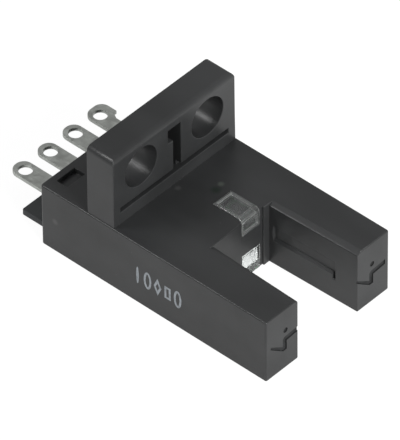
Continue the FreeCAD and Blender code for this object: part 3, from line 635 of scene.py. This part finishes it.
class OPTICAL_OT_guide(bpy.types.Operator):
    """Builds the clear light guide"""
    bl_idname = "optical_switch.guide"
    bl_label = "Light guide"

    def execute(self, context):
        settings = context.scene.optical_guide
        look = clear_plastic("Clear moulded plastic", settings.tone, settings.roughness,
                             settings.milkiness)
        rounded_copy("light_guide", "guide_moulding", settings.edge, "clear_guide", (look,))
        return {"FINISHED"}


class OPTICAL_OT_terminals(bpy.types.Operator):
    """Builds the four stamped terminals"""
    bl_idname = "optical_switch.terminals"
    bl_label = "Terminals"

    def execute(self, context):
        settings = context.scene.optical_terminals
        look = tinned_metal("Dull tinned strip", settings.tone, settings.roughness)
        for number in range(1, 5):
            rounded_copy("terminal_%d" % number, "terminal_strip_%d" % number, settings.edge,
                         "tinned_terminal", (look,))
        return {"FINISHED"}


class OPTICAL_OT_print(bpy.types.Operator):
    """Builds the row of plain printed marks on the side"""
    bl_idname = "optical_switch.print"
    bl_label = "Printed marks"

    def execute(self, context):
        settings = context.scene.optical_print
        printed_marks(settings, printed_ink("Pale printed ink", settings.tone))
        return {"FINISHED"}


class OPTICAL_OT_circuit(bpy.types.Operator):
    """Gives the pieces of the circuit inside the case their finishes"""
    bl_idname = "optical_switch.circuit"
    bl_label = "Circuit"

    def execute(self, context):
        dress_node("circuit_board", lacquered_board("Green lacquered board"))
        for name, (nodes, tone, size, gloss) in CIRCUIT_FINISHES.items():
            look = fired_body(name, tone, size, gloss)
            for node in nodes:
                dress_node(node, look)
        metal = tinned_metal("Bright tinned leads", LEAD_TONE, LEAD_ROUGHNESS)
        for node in CIRCUIT_METAL:
            dress_node(node, metal)
        return {"FINISHED"}


# Stage


def stage_paper(name, tone):
    """White paper that stays white behind the switch and keeps its shadow."""
    material, tree, shader = new_look(name)
    fibre = grain(tree, 0.004, 3.0)
    toned = blend(tree, spread(tree, fibre, 0.0, 1.0), lighter(tone, 0.98), lighter(tone, 1.0))
    connect(tree, shader, {"Base Color": toned, "Roughness": 0.9, "Specular IOR Level": 0.1})
    path = add(tree, "LightPath", {})
    seen = combine(tree, "MAXIMUM", path.outputs["Is Camera Ray"],
                   path.outputs["Is Transmission Ray"])
    lit = combine(tree, "ADD", combine(tree, "MULTIPLY", seen, PAPER_SEEN),
                  combine(tree, "MULTIPLY", path.outputs["Is Glossy Ray"], PAPER_REFLECTED))
    glow = add(tree, "Emission", {"Color": WHITE, "Strength": PAPER_GLOW})
    mixed = add(tree, "MixShader", {})
    parts = (lit, shader.outputs["BSDF"], glow.outputs["Emission"])
    for socket, value in zip(mixed.inputs, parts):
        feed(tree, socket, value)
    feed(tree, tree.nodes["Material Output"].inputs["Surface"], mixed.outputs["Shader"])
    return material


def add_floor(side, material):
    """The square paper floor under the switch."""
    shape = bmesh.new()
    bmesh.ops.create_grid(shape, x_segments=1, y_segments=1, size=side / 2)
    bmesh.ops.translate(shape, vec=(0.0, 0.0, -FLOOR_DROP), verts=shape.verts)
    new_piece("floor", shape, material)


def add_lamp(name, place, target, side, tone, strength):
    """A square lamp that points from its place to its target."""
    lamp = bpy.data.lights.new(name, "AREA")
    lamp.shape = "SQUARE"
    lamp.size = side
    lamp.energy = strength
    lamp.color = tone
    holder = bpy.data.objects.new(name, lamp)
    bpy.context.scene.collection.objects.link(holder)
    way = Vector(target) - Vector(place)
    holder.location = place
    holder.rotation_mode = "QUATERNION"
    holder.rotation_quaternion = way.to_track_quat("-Z", "Y")


def room_light(strength):
    """The room: white to the camera, plain grey to the switch."""
    world = bpy.data.worlds.new("Room")
    world.use_nodes = True
    tree = world.node_tree
    path = add(tree, "LightPath", {})
    level = fit(tree, path.outputs["Is Camera Ray"], 0.0, 1.0, strength, 1.0)
    connect(tree, tree.nodes["Background"], {"Color": WHITE, "Strength": level})
    bpy.context.scene.world = world


def photo_camera():
    """The camera at the photograph's viewing angle."""
    bearing = math.radians(CAMERA_BEARING)
    height = math.radians(CAMERA_HEIGHT)
    roll = math.radians(CAMERA_ROLL)
    right = Vector((math.cos(bearing), math.sin(bearing), 0.0))
    back = Vector((math.sin(bearing) * math.cos(height), -math.cos(bearing) * math.cos(height),
                   math.sin(height)))
    up = back.cross(right)
    across = right * math.cos(roll) + up * math.sin(roll)
    above = up * math.cos(roll) - right * math.sin(roll)
    eye = (back * CAMERA_DISTANCE - across * CAMERA_ASIDE - above * CAMERA_RAISED
           + Vector((0.0, TIPS_Y, 0.0)))
    data = bpy.data.cameras.new("Photograph camera")
    data.sensor_width = SENSOR
    data.lens = SENSOR * CAMERA_PIXELS / PICTURE_HEIGHT
    data.clip_start, data.clip_end = CAMERA_RANGE
    camera = bpy.data.objects.new("Photograph camera", data)
    bpy.context.scene.collection.objects.link(camera)
    turn = Matrix((across, above, back)).transposed().to_4x4()
    camera.matrix_world = Matrix.Translation(eye * MM) @ turn
    bpy.context.scene.camera = camera


class OPTICAL_OT_stage(bpy.types.Operator):
    """Sets up floor, lamps, room and camera"""
    bl_idname = "optical_switch.stage"
    bl_label = "Stage"

    def execute(self, context):
        settings = context.scene.optical_stage
        add_floor(settings.floor, stage_paper("White stage paper", settings.floor_tone))
        for name, place, target, side, tone in LAMPS:
            add_lamp(name, place, target, side, tone, getattr(settings, name))
        room_light(settings.room)
        photo_camera()
        context.scene.view_settings.view_transform = "Standard"
        return {"FINISHED"}


OPERATORS = (OPTICAL_OT_case, OPTICAL_OT_cover, OPTICAL_OT_guide, OPTICAL_OT_terminals,
             OPTICAL_OT_print, OPTICAL_OT_circuit, OPTICAL_OT_stage)
SETTINGS = {
    "optical_case": CaseSettings,
    "optical_cover": CoverSettings,
    "optical_guide": GuideSettings,
    "optical_terminals": TerminalSettings,
    "optical_print": PrintSettings,
    "optical_stage": StageSettings,
}


class OPTICAL_PT_panel(bpy.types.Panel):
    """Lists the pieces of the switch"""
    bl_idname = "OPTICAL_PT_panel"
    bl_label = "Optical switch"
    bl_space_type = "VIEW_3D"
    bl_region_type = "UI"
    bl_category = "Optical switch"

    def draw(self, context):
        for operator in OPERATORS:
            self.layout.operator(operator.bl_idname)
        for name, group in SETTINGS.items():
            box = self.layout.box()
            box.label(text=group.__doc__)
            for key in group.__annotations__:
                box.prop(getattr(context.scene, name), key)


def register():
    for group in (*SETTINGS.values(), *OPERATORS, OPTICAL_PT_panel):
        bpy.utils.register_class(group)
    for name, group in SETTINGS.items():
        setattr(bpy.types.Scene, name, PointerProperty(type=group))


def unregister():
    for name in SETTINGS:
        delattr(bpy.types.Scene, name)
    for group in (OPTICAL_PT_panel, *reversed(OPERATORS), *SETTINGS.values()):
        bpy.utils.unregister_class(group)


def main():
    register()
    bpy.ops.optical_switch.case()
    bpy.ops.optical_switch.cover()
    bpy.ops.optical_switch.guide()
    bpy.ops.optical_switch.terminals()
    bpy.ops.optical_switch.print()
    bpy.ops.optical_switch.circuit()
    bpy.ops.optical_switch.stage()


if __name__ == "__main__":
    main()
